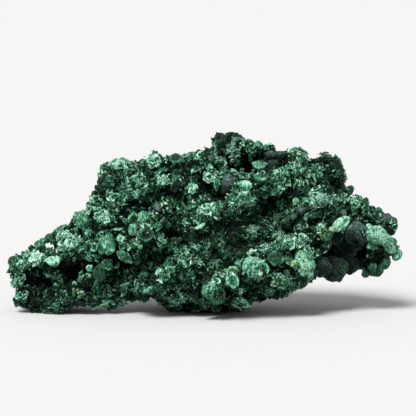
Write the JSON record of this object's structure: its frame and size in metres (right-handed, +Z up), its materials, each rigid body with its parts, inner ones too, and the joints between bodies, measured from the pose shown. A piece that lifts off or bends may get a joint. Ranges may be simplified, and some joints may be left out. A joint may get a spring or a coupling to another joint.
{
  "type": "malachite specimen",
  "caption": "Malachite mineral specimen: one long craggy mass of dark green knobs, velvety balls, ridges and small caves, with a thin lobe at each end and a level cut base to rest on.",
  "frame": {"origin": "middle of the bounding box in X and Y, on the plane of the level cut base that the specimen rests on", "axes": "X along the specimen's length, with the thin hollow lobe towards -X; +Z up, towards the peak; the show side faces -Y"},
  "size_m": [0.1843, 0.0709, 0.0844],
  "materials": {
    "malachite": "natural fibrous malachite: silky to velvety, near-black green in the hollows, mid green on the mass and pale mint on rims and tips"
  },
  "bodies": {
    "root": {"malachite": "malachite"}
  },
  "joints": []
}
